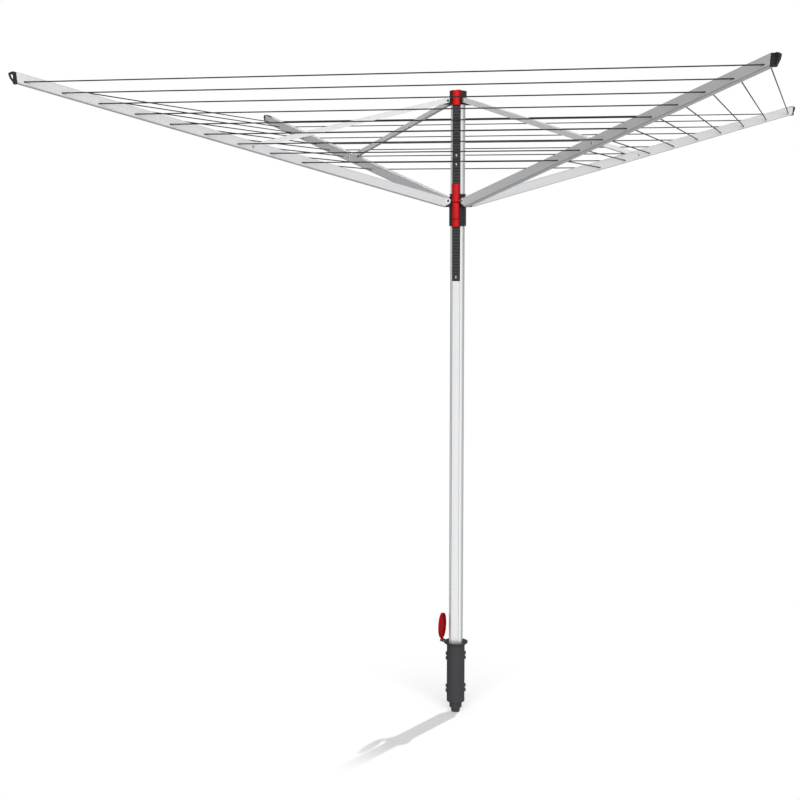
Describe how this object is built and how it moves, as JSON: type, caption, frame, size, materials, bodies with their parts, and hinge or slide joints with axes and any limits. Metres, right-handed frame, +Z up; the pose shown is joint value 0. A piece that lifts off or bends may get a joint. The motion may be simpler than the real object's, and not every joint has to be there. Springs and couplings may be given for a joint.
{
  "type": "rotary clothesline",
  "caption": "Rotary clothesline: a turning mast in a ground socket, with folding arms, struts, a sliding hub with a latch, and lines strung between the arms.",
  "frame": {"origin": "on the mast's axis at ground level, under the socket's flange", "axes": "+Z up along the mast; arm 1 lies over +X and the other arms follow anticlockwise; the latch and rack face -X -Y"},
  "size_m": [2.9258, 2.9258, 2.0661],
  "materials": {
    "socket_plastic": "fine matt grain",
    "lid_plastic": "satin red",
    "mast_tube": "light silver coating",
    "rack_plastic": "matt",
    "hub_plastic": "satin",
    "red_plastic": "satin gloss",
    "aluminium": "satin anodised",
    "line_plastic": "smooth grey sheath",
    "steel": "zinc plated"
  },
  "bodies": {
    "ground": {"socket_sleeve": "socket_plastic", "socket_tip": "socket_plastic", "lid_pin": "steel"},
    "lid": {"socket_lid": "lid_plastic"},
    "mast": {"pole": "mast_tube", "pole_foot": "hub_plastic", "pole_collar": "hub_plastic", "rack_lower": "rack_plastic", "rack_upper": "rack_plastic", "rack_screws": "steel", "top_hub": "hub_plastic", "top_cap": "red_plastic", "top_pins": "steel", "top_screws": "steel", "clothesline": "line_plastic"},
    "strut_1": {"strut_1": "aluminium"},
    "strut_2": {"strut_2": "aluminium"},
    "strut_3": {"strut_3": "aluminium"},
    "strut_4": {"strut_4": "aluminium"},
    "arm_1": {"arm_1": "aluminium", "strut_pin_1": "steel", "tip_cap_1": "hub_plastic"},
    "arm_2": {"arm_2": "aluminium", "strut_pin_2": "steel", "tip_cap_2": "hub_plastic"},
    "arm_3": {"arm_3": "aluminium", "strut_pin_3": "steel", "tip_cap_3": "hub_plastic"},
    "arm_4": {"arm_4": "aluminium", "strut_pin_4": "steel", "tip_cap_4": "hub_plastic"},
    "hub": {"hub_body": "hub_plastic", "hub_cover": "red_plastic", "hub_pins": "steel", "latch_pin": "steel", "latch_springs": "steel"},
    "latch": {"latch_lever": "red_plastic", "latch_pawl": "steel"}
  },
  "joints": [
    {"name": "mast_spin", "type": "hinge", "parent": "ground", "child": "mast", "pos_m": [0, 0, 0], "axis": [0, 0, 1], "continuous": true},
    {"name": "lid_hinge", "type": "hinge", "parent": "ground", "child": "lid", "pos_m": [-0.03458, 0.03458, 0.01], "axis": [-0.7071, -0.7071, 0], "range_deg": [-10, 90]},
    {"name": "fold_1", "type": "hinge", "parent": "mast", "child": "strut_1", "pos_m": [0.044, 0, 1.794], "axis": [0, 1, 0], "range_deg": [0, 75], "deforming": ["clothesline"]},
    {"name": "fold_2", "type": "hinge", "parent": "mast", "child": "strut_2", "pos_m": [0, 0.044, 1.794], "axis": [-1, 0, 0], "range_deg": [0, 75]},
    {"name": "fold_3", "type": "hinge", "parent": "mast", "child": "strut_3", "pos_m": [-0.044, 0, 1.794], "axis": [0, -1, 0], "range_deg": [0, 75]},
    {"name": "fold_4", "type": "hinge", "parent": "mast", "child": "strut_4", "pos_m": [0, -0.044, 1.794], "axis": [1, 0, 0], "range_deg": [0, 75]},
    {"name": "arm_joint_1", "type": "hinge", "parent": "strut_1", "child": "arm_1", "pos_m": [0.73072, 0, 1.6345], "axis": [0, 1, 0], "range_deg": [-150, 0]},
    {"name": "arm_joint_2", "type": "hinge", "parent": "strut_2", "child": "arm_2", "pos_m": [0, 0.73072, 1.6345], "axis": [-1, 0, 0], "range_deg": [-150, 0]},
    {"name": "arm_joint_3", "type": "hinge", "parent": "strut_3", "child": "arm_3", "pos_m": [-0.73072, 0, 1.6345], "axis": [0, -1, 0], "range_deg": [-150, 0]},
    {"name": "arm_joint_4", "type": "hinge", "parent": "strut_4", "child": "arm_4", "pos_m": [0, -0.73072, 1.6345], "axis": [1, 0, 0], "range_deg": [-150, 0]},
    {"name": "hub_joint", "type": "hinge", "parent": "arm_1", "child": "hub", "pos_m": [0.044, 0, 1.475], "axis": [0, 1, 0], "range_deg": [0, 75]},
    {"name": "latch", "type": "hinge", "parent": "hub", "child": "latch", "pos_m": [-0.01923, -0.01923, 1.478], "axis": [0.7071, -0.7071, 0], "range_deg": [-1.8, 14], "stiffness_Nm_per_rad": 0.1}
  ],
  "couplings": [
    {"joint": "fold_2", "follows": "fold_1", "ratio": 1},
    {"joint": "fold_3", "follows": "fold_1", "ratio": 1},
    {"joint": "fold_4", "follows": "fold_1", "ratio": 1},
    {"joint": "arm_joint_1", "follows": "fold_1", "ratio": -2},
    {"joint": "arm_joint_2", "follows": "fold_1", "ratio": -2},
    {"joint": "arm_joint_3", "follows": "fold_1", "ratio": -2},
    {"joint": "arm_joint_4", "follows": "fold_1", "ratio": -2},
    {"joint": "hub_joint", "follows": "fold_1", "ratio": 1}
  ]
}
